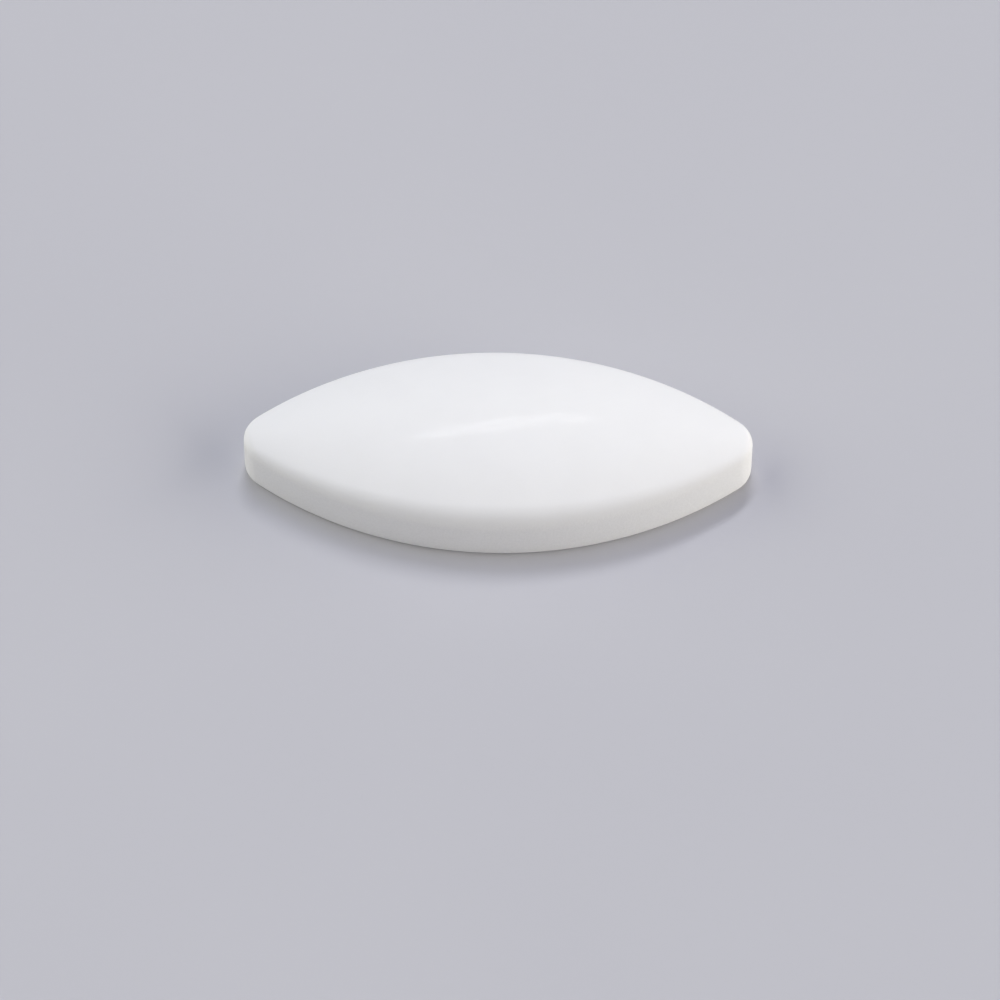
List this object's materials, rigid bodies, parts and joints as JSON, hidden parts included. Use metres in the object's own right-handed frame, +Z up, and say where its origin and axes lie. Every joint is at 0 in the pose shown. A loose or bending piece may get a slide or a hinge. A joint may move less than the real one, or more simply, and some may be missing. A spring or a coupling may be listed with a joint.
{
  "type": "magnetic stir bar",
  "caption": "Pointed-oval laboratory stirring bar: a smooth white moulded jacket with a domed top and a flat underside, sealed round a rod magnet.",
  "frame": {"origin": "middle of the flat underside", "axes": "+X along the length, from nose to nose; +Y across the width; +Z up through the crown"},
  "size_m": [0.025, 0.0104, 0.0043],
  "materials": {
    "jacket": "smooth satin white fluoropolymer, slightly translucent",
    "magnet": "ground grey alnico"
  },
  "bodies": {
    "root": {"jacket": "jacket", "magnet": "magnet"}
  },
  "joints": []
}
